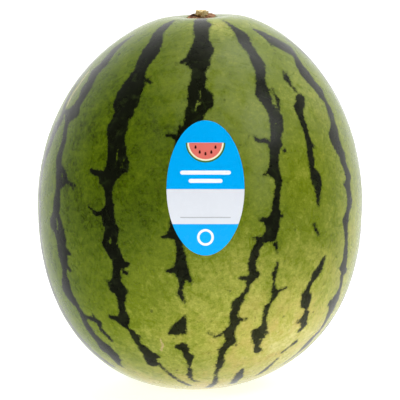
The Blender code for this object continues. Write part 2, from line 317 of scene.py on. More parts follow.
# Small dark green flecks on the green: (longitude, height, radius in mm).
FLECKS = (
    (24, 140, 0.9), (31.3, 143, 0.9), (10.5, 227, 1.0), (22, 228, 0.9), (46.5, 218, 1.0),
    (47.5, 214, 0.9), (-35.7, 152, 0.9), (-12.2, 125, 0.9), (51.5, 107, 1.0), (33.7, 114, 1.0),
    (38, 126, 0.9), (40.8, 101, 0.8), (-17.6, 64.5, 1.1), (-10.4, 22.8, 1.0), (32.5, 205, 1.0),
    (35.5, 226, 1.2), (30.5, 210, 0.8), (-36.5, 161, 0.9), (26.3, 29.6, 0.8), (33.5, 58.5, 1.0),
    (-37.5, 17.8, 0.8), (-35, 17, 0.8), (48.9, 219.7, 1.1), (47.2, 215.1, 1.0), (47.1, 211.6, 0.9),
    (7.8, 217.3, 0.9),
)

# Light gaps inside stripes: runs of (longitude, height, half width in mm).
GAPS = (
    ((63.1, 225.9, 0.6), (65.1, 224, 0.7)),
    ((59.7, 227.3, 0.5), (58.1, 229.1, 0.5)),
    ((-57, 144, 0.9), (-57, 141.5, 0.9)),
    ((-58.7, 116.5, 0.8), (-58.4, 110, 1.3)),
    ((-28.4, 157, 0.8), (-28.4, 152.7, 0.8)),
    ((-31.4, 164, 0.35), (-31, 158, 0.4), (-31.2, 153, 0.35)),
    ((-31.5, 109, 0.8), (-31.5, 106.5, 0.8)),
    ((-28, 89, 0.6), (-28, 86.5, 0.6)),
    ((-1, 198, 0.5), (-1, 190, 0.5)),
    ((-2.2, 191, 0.5), (-2.2, 187, 0.5)),
    ((30, 178, 0.7),),
    ((25.6, 44.8, 1.0),),
    ((54, 226, 1.0),),
)

# Healed scratches: the rind is corky and tan along them.
SCARS = (
    ((-75, 205, 0.7), (-74, 195, 0.8), (-74.5, 190, 0.7), (-73.5, 186, 0.7), (-73, 183, 0.5)),
    ((-15.8, 46.4, 0.4), (-14.9, 41.5, 0.6), (-16.3, 37, 0.5)),
)

# The back of the fruit: where each further stripe runs, in degrees.
BACK_STRIPES = (109, 131, 153, 175, 196, 217, 239, 260)

# Where the rind is riper (paler, more yellow) or greener, and where light is painted in as a
# paler rind: (longitude, height, spread in degrees, spread in mm, change).
TONES_AND_PAINTED_LIGHT = (
    (32, 185, 30, 55, 0.20),
    (38, 122, 24, 42, -0.20),
    (16, 235, 10, 5, 0.25),
    (62, 195, 22, 45, 0.22),
    (65, 140, 18, 50, 0.12),
    # Painted reflection: this row paints a paler ring round the crown for the white room reflecting
    # there.
    (0, 236, 180, 9, 0.15),
    # Painted light: the next two rows make the rind paler near the ground, for light from the floor
    # below.
    (-45, 6, 60, 16, 0.35),
    (10, 4, 40, 10, 0.25),
    (-30, 150, 25, 55, -0.30),
    (-8, 215, 22, 30, 0.20),
    (150, 150, 50, 80, 0.15),
    (-120, 170, 40, 60, 0.10),
)
FIELD_SPOT = (40, -45)  # longitude and dip of the side that lay on the ground
RIPENESS_BY_ANGLE = (
    (0, 1.0), (10, 0.92), (17, 0.78), (25, 0.66), (33, 0.60), (45, 0.47), (55, 0.38),
    (65, 0.27), (75, 0.17), (90, 0.12), (180, 0.12),
)

# Painted sheen, pale where lamps and the white room reflect: as above, with its strength last.
PAINTED_SHEEN = (
    (12, 197, 27, 32, 0.13),
    (48, 197, 12, 26, 0.09),
    (22, 146, 6, 22, 0.10),
    (-22, 28, 14, 16, 0.09),
    (8, 22, 14, 12, 0.10),
)

def half_disc(radius):
    """The outline of a half disc with its straight side up."""
    turns = (math.radians(10 * step) for step in range(19))
    return tuple(
        (radius * math.cos(turn), SLICE_TOP - radius * math.sin(turn)) for turn in turns
    )


# What is printed on the sticker, in mm from its middle as seen from the front, drawn in this
# order: outlines of (across, up), or runs of (across, up, half width). It is a plain sign for a
# melon, two bars, a rule and a ring, all on round measures.
PRINT = (
    ("panel", "DADEE5", "outline", ((-40, 0), (40, 0), (40, -21), (-40, -21))),
    ("rule", "A9ABB0", "runs", ((-15, -17, 0.3), (15, -17, 0.3))),
    ("slice_skin", "3E6B2A", "outline", half_disc(12)),
    ("slice_white", "EFEBCB", "outline", half_disc(11)),
    ("slice_flesh", "DE7266", "outline", half_disc(10)),
    ("first_seed", "3A1510", "runs", ((-6, 26, 0.5), (-6, 25, 0.7))),
    ("second_seed", "3A1510", "runs", ((-3.5, 23, 0.5), (-3.5, 22, 0.7))),
    ("third_seed", "3A1510", "runs", ((0, 22, 0.5), (0, 21, 0.7))),
    ("fourth_seed", "3A1510", "runs", ((3.5, 23, 0.5), (3.5, 22, 0.7))),
    ("fifth_seed", "3A1510", "runs", ((6, 26, 0.5), (6, 25, 0.7))),
    ("upper_bar", "F2F4F6", "runs", ((-14, 10, 1.2), (14, 10, 1.2))),
    ("lower_bar", "F2F4F6", "runs", ((-9, 5, 1.2), (9, 5, 1.2))),
    ("ring", "F2F4F6", "runs", ((0, -29, 5.0),)),
    ("ring_middle", "00AAF2", "runs", ((0, -29, 3.6),)),
)


def linear(hex_colour):
    """A linear colour with alpha from an sRGB hex value."""
    parts = (int(hex_colour[i : i + 2], 16) / 255 for i in (0, 2, 4))
    return (*(c / 12.92 if c <= 0.04045 else ((c + 0.055) / 1.055) ** 2.4 for c in parts), 1.0)


def per_metre(size_mm):
    """The scale that gives a texture features of this size."""
    return 1000 / size_mm


def add(tree, kind, inputs=None, stops=None, **settings):
    """Adds a node, with its settings, its sockets' values or links, and a ramp's colour stops."""
    made = tree.nodes.new(kind)
    for name, value in settings.items():
        setattr(made, name, value)
    for name, value in (inputs or {}).items():
        if isinstance(value, bpy.types.NodeSocket):
            tree.links.new(value, made.inputs[name])
        else:
            made.inputs[name].default_value = value
    if stops:
        ramp = made.color_ramp.elements
        while len(ramp) < len(stops):
            ramp.new(1)
        for element, (position, colour) in zip(ramp, stops):
            element.position = position
            element.color = linear(colour)
    return made


def new_material(name):
    material = bpy.data.materials.new(name)
    material.use_nodes = True
    tree = material.node_tree
    return material, tree, tree.nodes["Principled BSDF"]


# Places on the rind.


def turned(directions):
    """Where directions from the middle of the waist meet the outline turned about Z."""
    across = np.hypot(directions[:, 0], directions[:, 1])
    up = directions[:, 2]
    fullness = np.where(up > 0, CROWN_FULLNESS, BASE_FULLNESS)
    rise = np.where(up > 0, CROWN_RISE, BASE_DEPTH)
    share = (across / BODY_RADIUS) ** fullness + (np.abs(up) / rise) ** fullness
    points = directions * (share ** (-1 / fullness))[:, None]
    # The ground flattens the blossom end, with a soft edge.
    edge = 0.3 * MM
    points[:, 2] = edge * np.logaddexp(0, (points[:, 2] + WAIST_HEIGHT) / edge) - WAIST_HEIGHT
    return points


def grown(points):
    """Moves points of the turned shape to where the fruit grew."""
    x, y, z = points.T.copy()
    turn = np.arctan2(y, x)
    swell = 1 + TWO_LOBE_SWELL * np.sin(2 * turn) + THREE_LOBE_SWELL * np.sin(3 * turn)
    x *= swell
    y *= swell
    crown = np.clip(z / CROWN_RISE, 0, 1)
    heel = np.clip(-z / BASE_DEPTH, 0, 1)
    z += SHOULDER_TILT * (x / BODY_RADIUS) * crown**8
    x += CROWN_LEAN * crown**2 - HEEL_SHIFT * heel**4
    east = x - STEM_OFFSET
    distance = np.hypot(east, y)
    collar = COLLAR_HEIGHT + COLLAR_WAVE * (east**2 - y**2) / COLLAR_SPREAD**2
    rise = collar * np.exp(-((distance / COLLAR_SPREAD) ** 4))
    rise -= HOLLOW_DEPTH * np.exp(-((distance / HOLLOW_SPREAD) ** 2))
    z += np.where(z > 0, rise, 0)
    return np.stack((x, y, z + WAIST_HEIGHT), axis=1)


def outline_table(steps=4000):
    """Radius, height and length run from the pole down the turned outline, in mm."""
    polar = np.linspace(0, math.pi, steps)
    directions = np.stack((np.sin(polar), np.zeros(steps), np.cos(polar)), axis=1)
    points = turned(directions) / MM
    radius, height = points[:, 0], points[:, 2] + WAIST_HEIGHT / MM
    run = np.concatenate(([0], np.cumsum(np.hypot(np.diff(radius), np.diff(height)))))
    return polar, radius, height, run


POLAR, RADIUS, HEIGHT, RUN = outline_table()


def run_at(height):
    """The length run down the outline to a height in mm."""
    return np.interp(height, HEIGHT[::-1], RUN[::-1])


def radius_at(height):
    return np.interp(height, HEIGHT[::-1], RADIUS[::-1])


class Skin:
    """Points on the rind, as longitudes in degrees, and runs and radii in mm."""

    def __init__(self, directions):
        polar = np.arctan2(np.hypot(directions[:, 0], directions[:, 1]), directions[:, 2])
        self.longitude = np.degrees(np.arctan2(directions[:, 0], -directions[:, 1]))
        self.run = np.interp(polar, POLAR, RUN)
        self.radius = np.interp(polar, POLAR, RADIUS)
        self.height = np.interp(polar, POLAR, HEIGHT)

    def near(self, places, margin):
        """Which points are near places (longitude, run), and their longitudes next to them."""
        longitudes, runs = np.array(places).T
        middle = (longitudes.min() + longitudes.max()) / 2
        span = (longitudes.max() - longitudes.min()) / 2
        carried = (self.longitude - middle + 180) % 360 - 180 + middle
        beside = (np.abs(carried - middle) - span) * np.radians(self.radius) < margin
        level = (self.run > runs.min() - margin) & (self.run < runs.max() + margin)
        chosen = np.flatnonzero(beside & level)
        return chosen, carried[chosen]

    def to_line(self, chosen, carried, start, end):
        """Distances in mm to a line on the rind, and how far along it each point is nearest."""
        scale = np.radians(self.radius[chosen])
        ax, ay = (start[0] - carried) * scale, start[1] - self.run[chosen]
        bx, by = (end[0] - carried) * scale, end[1] - self.run[chosen]
        dx, dy = bx - ax, by - ay
        along = np.clip(-(ax * dx + ay * dy) / np.maximum(dx * dx + dy * dy, 1e-9), 0, 1)
        return np.hypot(ax + along * dx, ay + along * dy), along


def stripe_depth(skin, stations, depth):
    """Raises depth, in mm, to how deep each point lies inside a stripe."""
    heights, lefts, rights = np.array(stations, float).T
    runs = run_at(heights)
    edge = list(zip(lefts, runs)) + list(zip(rights, runs))[::-1]
    chosen, carried = skin.near(edge, REACH)
    run = skin.run[chosen]
    distance = np.full(len(chosen), REACH)
    for start, end in zip(edge, edge[1:] + edge[:1]):
        distance = np.minimum(distance, skin.to_line(chosen, carried, start, end)[0])
    inside = (run > runs[0]) & (run < runs[-1])
    inside &= (carried > np.interp(run, runs, lefts)) & (carried < np.interp(run, runs, rights))
    depth[chosen] = np.maximum(depth[chosen], np.where(inside, distance, -distance))


def strand_depth(skin, strand, depth):
    """Raises depth to how deep each point lies inside a tapering strand."""
    places = [(longitude, run_at(height)) for longitude, height, _ in strand]
    halves = [half for _, _, half in strand]
    if len(strand) == 1:
        places, halves = places * 2, halves * 2
    chosen, carried = skin.near(places, REACH)
    for index in range(len(places) - 1):
        start, end = places[index : index + 2]
        distance, along = skin.to_line(chosen, carried, start, end)
        inside = halves[index] + (halves[index + 1] - halves[index]) * along - distance
        depth[chosen] = np.maximum(depth[chosen], inside)


def back_growth(longitude, chance):
    """A stripe of the back with its spurs, in the same form as those of the front."""
    stations, spurs = [], []
    height = chance.uniform(236, 240.5)
    foot = chance.uniform(10, 26)
    sway = [
        (chance.uniform(0.6, 2.2), chance.uniform(18, 70), chance.uniform(0, 6.3))
        for _ in range(4)
    ]
    weight = chance.uniform(0.8, 1.35)
    swelling, start_of_swell = chance.uniform(14, 26), chance.uniform(0, 6.3)
    while height > foot:
        radius = radius_at(height)
        sideways = sum(size * math.sin(height / length + start) for size, length, start in sway)
        envelope = min(1, (241 - height) / 26 + 0.2, (height - foot) / 45 + 0.25)
        swell = 3.3 + 1.5 * math.sin(height / swelling + start_of_swell) + chance.uniform(-1.1, 1.3)
        half = weight * envelope * swell
        left = longitude + sideways - math.degrees(half * chance.uniform(0.7, 1.2) / radius)
        right = longitude + sideways + math.degrees(half * chance.uniform(0.7, 1.2) / radius)
        stations.append((height, left, right))
        if chance.random() < 0.2:
            side = chance.choice((-1, 1))
            start = left if side < 0 else right
            length = math.degrees(side * chance.uniform(2, 7) / radius)
            drop = chance.uniform(-3, 3)
            spurs.append(
                ((start, height, 1.7), (start + length / 2, height + drop / 3, 1.1),
                 (start + length, height + drop, 0.4))
            )
        height -= chance.uniform(2.2, 6.5)
    for _ in range(5):
        level = chance.uniform(40, 225)
        side = chance.choice((-1, 1))
        aside = longitude + side * math.degrees(chance.uniform(8, 15) / radius_at(level))
        spurs.append(((aside, level, chance.uniform(0.5, 1.1)), (aside + 0.5, level - 3, 0.5)))
    return stations, spurs


def noise_field(points, size_mm, shift):
    """Smooth noise from -1 to 1 with features of this size."""
    scale = 1 / (size_mm * MM)
    offset = Vector((shift, shift * 0.37, -shift))
    return np.array([noise.noise(Vector(point) * scale + offset) for point in points])


def float_attribute(mesh, name, values):
    mesh.attributes.new(name, "FLOAT", "POINT").data.foreach_set("value", values.astype(np.float32))


# The rind.

CUBE_SIDES = (
    Matrix.Identity(3),
    Matrix.Rotation(math.pi, 3, "X"),
    Matrix.Rotation(math.pi / 2, 3, "X"),
    Matrix.Rotation(-math.pi / 2, 3, "X"),
    Matrix.Rotation(math.pi / 2, 3, "Y"),
    Matrix.Rotation(-math.pi / 2, 3, "Y"),
)


def cube_of_grids(mesh, steps, stem_cuts):
    """An even mesh over a cube, finer at the stem end, with each side's own patch of the UV map."""
    shaper = bmesh.new()
    uv = shaper.loops.layers.uv.new("OFBake")
    lift = Matrix.Translation((0, 0, 1))
    for number, side in enumerate(CUBE_SIDES):
        before = len(shaper.faces)
        bmesh.ops.create_grid(
            shaper, x_segments=steps, y_segments=steps, size=1, matrix=side.to_4x4() @ lift
        )
        shaper.faces.ensure_lookup_table()
        back = side.inverted()
        column, row = number % 3, number // 3
        for face in shaper.faces[before:]:
            for loop in face.loops:
                flat = back @ loop.vert.co
                loop[uv].uv = (
                    (column + 0.5 + 0.496 * flat.x) / 3,
                    (row + 0.5 + 0.496 * flat.y) / 2,
                )
    bmesh.ops.remove_doubles(shaper, verts=shaper.verts, dist=0.2 / steps)
    stem_reach = 0.17
    stem_edges = [
        edge
        for edge in shaper.edges
        if all(v.co.z > 0.99 and math.hypot(v.co.x, v.co.y) < stem_reach for v in edge.verts)
    ]
    bmesh.ops.subdivide_edges(shaper, edges=stem_edges, cuts=stem_cuts, use_grid_fill=True)
    shaper.to_mesh(mesh)
    shaper.free()


def fading_patch(skin, longitude, height, wide, tall):
    """A patch that is 1 in its middle and fades over its spread in degrees and in mm of height."""
    aside = (skin.longitude - longitude + 180) % 360 - 180
    return np.exp(-((aside / wide) ** 2) - ((skin.height - height) / tall) ** 2)


def rind_attributes(mesh, skin, points):
    """Where the stripes, flecks, scar, cork, riper areas, painted light and painted sheen lie, for
    the material.
    """
    count = len(points)
    dark = np.full(count, -REACH)
    fleck = np.full(count, -REACH)
    gap = np.full(count, -REACH)
    scar = np.full(count, -REACH)
    for stations in STRIPES.values():
        stripe_depth(skin, stations, dark)
    for spur in SPURS:
        strand_depth(skin, spur, dark)
    chance = random.Random(7)
    for longitude in BACK_STRIPES:
        stations, spurs = back_growth(longitude, chance)
        stripe_depth(skin, stations, dark)
        for spur in spurs:
            strand_depth(skin, spur, dark)
    for longitude, height, radius in FLECKS:
        strand_depth(skin, ((longitude, height, radius),), fleck)
    for _ in range(260):
        place = (chance.uniform(-180, 180), chance.uniform(15, 235), chance.uniform(0.3, 0.75))
        drawn = (place[0] + chance.uniform(-1, 1), place[1] - chance.uniform(0, 2.5), 0.3)
        strand_depth(skin, (place, drawn), fleck)
    for strand in GAPS:
        strand_depth(skin, strand, gap)
    for strand in SCARS:
        strand_depth(skin, strand, scar)
    float_attribute(mesh, "stripe", np.minimum(dark, -gap))
    float_attribute(mesh, "fleck", fleck)
    float_attribute(mesh, "scar", scar)

    turn, dip = (math.radians(angle) for angle in FIELD_SPOT)
    level = math.cos(dip)
    spot = np.array((math.sin(turn) * level, -math.cos(turn) * level, math.sin(dip)))
    outward = points - np.array((0, 0, WAIST_HEIGHT))
    outward /= np.linalg.norm(outward, axis=1)[:, None]
    angle = np.degrees(np.arccos(np.clip(outward @ spot, -1, 1)))
    ripeness = np.interp(angle, *zip(*RIPENESS_BY_ANGLE))
    # Some of these rows paint light rather than ripeness: paler near the ground and round the
    # crown.
    for longitude, height, wide, tall, change in TONES_AND_PAINTED_LIGHT:
        ripeness += change * fading_patch(skin, longitude, height, wide, tall)
    float_attribute(mesh, "ripeness", np.clip(ripeness, 0, 1))
    # Painted sheen: pale patches that stand in for the lamps' soft reflection.
    painted_sheen = np.zeros(count)
    for longitude, height, wide, tall, strength in PAINTED_SHEEN:
        painted_sheen += strength * fading_patch(skin, longitude, height, wide, tall)
    float_attribute(mesh, "painted_sheen", painted_sheen)

    east, north = points[:, 0] - STEM_OFFSET, points[:, 1]
    bearing = np.arctan2(north, east)
    rim = 10.3 - 0.6 * np.cos(bearing) + 0.7 * np.sin(3 * bearing + 0.6) + 0.4 * np.sin(7 * bearing)
    cork = np.where(points[:, 2] > WAIST_HEIGHT, rim - np.hypot(east, north) / MM, -REACH * 9)
    float_attribute(mesh, "cork", cork)
    heel = np.hypot(points[:, 0] + HEEL_SHIFT, north) / MM
    float_attribute(mesh, "blossom", np.where(points[:, 2] < WAIST_HEIGHT, 6.5 - heel, -REACH * 9))
    return cork


def shape_rind(mesh, settings):
    cube_of_grids(mesh, settings.steps, 3)
    cube = np.empty(len(mesh.vertices) * 3)
    mesh.vertices.foreach_get("co", cube)
    directions = np.tan(cube.reshape(-1, 3) * math.pi / 4)
    directions /= np.linalg.norm(directions, axis=1)[:, None]
    points = grown(turned(directions))
    skin = Skin(directions)
    cork = rind_attributes(mesh, skin, points)

    # Shallow dents everywhere but at the rest spot, and rough lumps on the cork.
    relief = settings.dents * (0.7 * noise_field(points, 22, 3) + 0.3 * noise_field(points, 9, 11))
    relief *= np.clip(points[:, 2] / 0.01, 0, 1)
    rough = np.flatnonzero(cork > -1.5)
    lumps = noise_field(points[rough], 2.4, 5) + 0.5 * noise_field(points[rough], 1.1, 8)
    relief[rough] += settings.cork_lumps * lumps * np.clip((cork[rough] + 1.5) / 3, 0, 1)
    points += directions * relief[:, None]
    # The collar is worn down in front of the stub.
    worn_middle, worn_spread = -6.2 * MM, 3.6 * MM
    front = np.hypot(points[:, 0] - STEM_OFFSET, points[:, 1] - worn_middle) / worn_spread
    points[:, 2] -= np.where(points[:, 2] > WAIST_HEIGHT, settings.worn * np.exp(-(front**2)), 0)
    mesh.vertices.foreach_set("co", points.ravel())
    mesh.shade_smooth()
    mesh.update()


def rind_material(settings):
    """Watermelon rind, grown: waxy green skin with black-green stripes, and cork at its two ends.

    The wax gives it a wide soft gloss that turns pale towards its outline. The stripes have ragged
    edges, because they follow the veins below the skin, and both greens are mottled.
    """
    material, tree, shader = new_material("watermelon_rind_grown")
    place = add(tree, "ShaderNodeTexCoord").outputs["Object"]

    def noise_at(size_mm, detail=3.0, roughness=0.5, distortion=0.0):
        inputs = {
            "Vector": place, "Scale": per_metre(size_mm), "Detail": detail,
            "Roughness": roughness, "Distortion": distortion,
        }
        return add(tree, "ShaderNodeTexNoise", inputs)

    def sum_of(value, factor, other):
        inputs = {0: value, 1: factor, 2: other}
        return add(tree, "ShaderNodeMath", inputs, operation="MULTIPLY_ADD").outputs[0]

    def mask(value, low, high, strength=1.0):
        inputs = {"Value": value, "From Min": low, "From Max": high, "To Max": strength}
        return add(
            tree, "ShaderNodeMapRange", inputs, interpolation_type="SMOOTHSTEP"
        ).outputs[0]

    def blend(amount, under, over):
        inputs = {0: amount, 6: under, 7: over}
        return add(tree, "ShaderNodeMix", inputs, data_type="RGBA").outputs[2]

    stripe, fleck, scar, cork, blossom, ripeness, painted_sheen = (
        add(tree, "ShaderNodeAttribute", attribute_name=name).outputs["Fac"]
        for name in ("stripe", "fleck", "scar", "cork", "blossom", "ripeness", "painted_sheen")
    )
    blotches = noise_at(30, 2).outputs["Fac"]
    patches = noise_at(9, 3, 0.6, 0.5).outputs["Fac"]
    grains = noise_at(2.4, 3, 0.65).outputs["Fac"]
    # The finest specks are drawn coarser than real ones, so that they show.
    specks = noise_at(0.9, 2, 0.6).outputs["Fac"]
    jags = noise_at(4.5, 3, 0.6, 0.3).outputs["Fac"]
    teeth = noise_at(1.5, 3, 0.65, 0.3).outputs["Fac"]

    # The veins wander, so their cells aren't straight-sided.
    shift = add(
        tree, "ShaderNodeVectorMath",
        {0: noise_at(5, 3).outputs["Color"], 1: (0.009, 0.009, 0.009), 2: place},
        operation="MULTIPLY_ADD",
    )
    veins = add(
        tree, "ShaderNodeTexVoronoi", {"Vector": shift.outputs[0], "Scale": per_metre(6)},
        feature="DISTANCE_TO_EDGE",
    ).outputs["Distance"]

    # Green: from deep to field-spot yellow by ripeness, moved by four sizes of mottling. That
    # attribute also carries painted light: paler near the ground and round the crown.
    # Each noise swings about 0.5, so 0.5 of each factor is taken off again.
    tone = sum_of(blotches, 0.30, ripeness)
    tone = sum_of(patches, 0.46, tone)
    tone = sum_of(grains, 0.56, tone)
    tone = sum_of(specks, 0.40, tone)
    vein_line = mask(veins, 0.20, 0.0, -0.07)
    tone = add(tree, "ShaderNodeMath", {0: tone, 1: vein_line}, operation="ADD").outputs[0]
    tone = sum_of(tone, 0.77, -0.49)
    green = add(
        tree, "ShaderNodeValToRGB", {"Fac": tone},
        stops=(
            (0.0, "2A3600"), (0.17, settings.deep_green), (0.45, "6C7A10"), (0.66, "959A3A"),
            (0.83, "B5B156"), (1.0, settings.field_yellow),
        ),
    ).outputs["Color"]

    # The ripe side is sandy in places, with olive specks.
    sandy = mask(noise_at(14, 3, 0.6, 0.4).outputs["Fac"], 0.42, 0.7, 0.6)
    ripe = mask(ripeness, 0.35, 0.95)
    sandy = add(tree, "ShaderNodeMath", {0: sandy, 1: ripe}, operation="MULTIPLY").outputs[0]
    green = blend(sandy, green, linear("BFA860"))
    olive = mask(noise_at(1.9, 2, 0.7).outputs["Fac"], 0.6, 0.7, 0.45)
    green = blend(olive, green, linear("5B5F14"))

    # Painted sheen: a thin pale layer painted on the green where the lamps reflect, broken up by
    # noise.
    sheen_breakup = mask(noise_at(12, 3, 0.6).outputs["Fac"], 0.2, 0.55)
    painted_sheen_layer = add(tree, "ShaderNodeMath", {0: painted_sheen, 1: sheen_breakup}, operation="MULTIPLY").outputs[0]
    green = blend(painted_sheen_layer, green, linear("BCC398"))

    # Stripes: black-green with ragged edges, and a thin fringe of dark green.
    ragged = sum_of(jags, 2.8, stripe)
    ragged = sum_of(teeth, 3.6, ragged)
    ragged = add(tree, "ShaderNodeMath", {0: ragged, 1: 3.0}, operation="SUBTRACT").outputs[0]
    colour = blend(mask(ragged, -1.4, 0.0, 0.5), green, linear("39460A"))
    inner = mask(noise_at(5, 4, 0.65, 0.8).outputs["Fac"], 0.5, 0.75, 0.4)
    dark = add(
        tree, "ShaderNodeValToRGB", {"Fac": tone},
        stops=((0.0, settings.stripe_dark), (0.4, "13160A"), (0.7, "282A16"), (1.0, "40412A")),
    ).outputs["Color"]
    dark = blend(inner, dark, linear("35421A"))
    flecked = mask(sum_of(grains, 3.0, fleck), 1.0, 2.2, 0.75)
    colour = blend(flecked, colour, linear("3A4710"))
    striped = mask(ragged, -0.35, 0.45)
    colour = blend(striped, colour, dark)

    # The healed scratch, then the cork round the stem and at the blossom scar.
    healed = mask(sum_of(grains, 1.2, scar), 0.2, 1.0)
    colour = blend(healed, colour, linear("B5A070"))
    crumbs = noise_at(2.2, 5, 0.7, 0.6).outputs["Fac"]
    cork_colour = add(
        tree, "ShaderNodeValToRGB", {"Fac": crumbs},
        stops=((0.3, "4A2C1A"), (0.45, "7A4E36"), (0.56, settings.cork), (0.72, "B58E68")),
    ).outputs["Color"]
    # Painted shade: the cork darkens to almost black round this point, for the shade in the corner
    # by the stub.
    corner_shade_distance = add(
        tree, "ShaderNodeVectorMath", {0: place, 1: STUB_CORNER_SHADE}, operation="DISTANCE"
    ).outputs["Value"]
    cork_colour = blend(mask(corner_shade_distance, 0.0042, 0.0016, 0.9), cork_colour, linear("24120A"))
    corky = add(tree, "ShaderNodeMath", {0: cork, 1: blossom}, operation="MAXIMUM").outputs[0]
    corky = mask(sum_of(crumbs, 3.0, corky), 1.2, 2.3)
    colour = blend(corky, colour, cork_colour)
    tree.links.new(colour, shader.inputs["Base Color"])

    waxy = add(
        tree, "ShaderNodeMapRange",
        {"Value": patches, "From Min": 0.3, "From Max": 0.7, "To Min": 0.24, "To Max": 0.33},
    ).outputs[0]
    roughness = add(tree, "ShaderNodeMix", {0: corky, 2: waxy, 3: 0.85}, data_type="FLOAT")
    tree.links.new(roughness.outputs[0], shader.inputs["Roughness"])
    shader.inputs["IOR"].default_value = 1.45
    shader.inputs["Specular IOR Level"].default_value = 0.22
    shader.inputs["Sheen Weight"].default_value = 0.12
    shader.inputs["Sheen Roughness"].default_value = 0.2
    shader.inputs["Sheen Tint"].default_value = linear("E8ECE0")

    fine = add(tree, "ShaderNodeBump", {"Strength": 0.2, "Distance": 0.00004, "Height": specks})
    swells = add(
        tree, "ShaderNodeBump",
        {"Strength": 0.5, "Distance": 0.0002, "Height": patches, "Normal": fine.outputs[0]},
    )
    crust = add(tree, "ShaderNodeMath", {0: crumbs, 1: corky}, operation="MULTIPLY").outputs[0]
    crusty = add(
        tree, "ShaderNodeBump",
        {"Strength": 0.9, "Distance": 0.0009, "Height": crust, "Normal": swells.outputs[0]},
    )
    tree.links.new(crusty.outputs[0], shader.inputs["Normal"])
    return material


# The stem stub.


def shape_stub(mesh, settings):
    """The dried stub: ribbed like the vine it was, ragged and cupped where it was cut."""
    low, high = STUB_BOX
    middle = (low + high) / 2
    radius = (high.x - low.x) / 2 - 0.5 * MM
    foot, top = low.z - 1.5 * MM, high.z - 0.7 * MM
    columns, rings, caps = 96, 26, 12
    shaper = bmesh.new()
    loops = []
    for ring in range(rings + caps):
        side = min(ring / (rings - 1), 1)
        inward = max(ring - rings + 1, 0) / caps
        loop = []
        for column in range(columns):
            turn = 2 * math.pi * column / columns
            ribs = 1 + settings.rib_depth * math.cos(5 * turn + 0.7) + 0.03 * math.cos(11 * turn)
            flare = 1 + 0.18 * (1 - side) ** 3 - 0.05 * side**4
            reach = radius * ribs * flare * (1 - inward) ** 0.9
            point = Vector((math.cos(turn) * reach, math.sin(turn) * reach, 0))
            tilt = 0.35 * MM * math.cos(turn - 2.4)
            point.z = foot + (top - foot) * side + side * tilt
            point.z -= settings.cup_depth * inward**0.6
            lumps = noise.noise(point / (2.1 * MM) + Vector((3, 1, 7)))
            crumbs = noise.noise(point / (0.8 * MM) + Vector((9, 4, 2)))
            rough = settings.roughness * (lumps + 0.45 * crumbs)
            outward = Vector((point.x, point.y, 0)).normalized() if inward < 1 else Vector()
            point += outward * rough * (0.4 + 0.6 * side)
            if side == 1:
                point.z += rough * 0.8
            loop.append(shaper.verts.new((middle.x + point.x, middle.y + point.y, point.z)))
        loops.append(loop)
    for lower, upper in zip(loops, loops[1:]):
        for column in range(columns):
            after = (column + 1) % columns
            shaper.faces.new((lower[column], lower[after], upper[after], upper[column]))
    shaper.faces.new(loops[0][::-1])
    shaper.faces.new(loops[-1])
    # Dried fibres that tore away round the foot.
    chance = random.Random(3)
    for _ in range(18):
        turn = chance.uniform(0, 2 * math.pi)
        lean = Matrix.Rotation(turn, 4, "Z") @ Matrix.Rotation(chance.uniform(0.5, 1.1), 4, "Y")
        length = chance.uniform(1.2, 2.4) * MM
        root = Matrix.Translation(
            (
                middle.x + math.cos(turn) * radius,
                middle.y + math.sin(turn) * radius,
                foot + 1.6 * MM,
            )
        )
        bmesh.ops.create_cone(
            shaper, segments=7, radius1=chance.uniform(0.3, 0.5) * MM, radius2=0.05 * MM,
            depth=length, cap_ends=True,
            matrix=root @ lean @ Matrix.Translation((0, 0, length / 2)),
        )
    bmesh.ops.recalc_face_normals(shaper, faces=shaper.faces)
    shaper.to_mesh(mesh)
    shaper.free()
    mesh.shade_smooth()


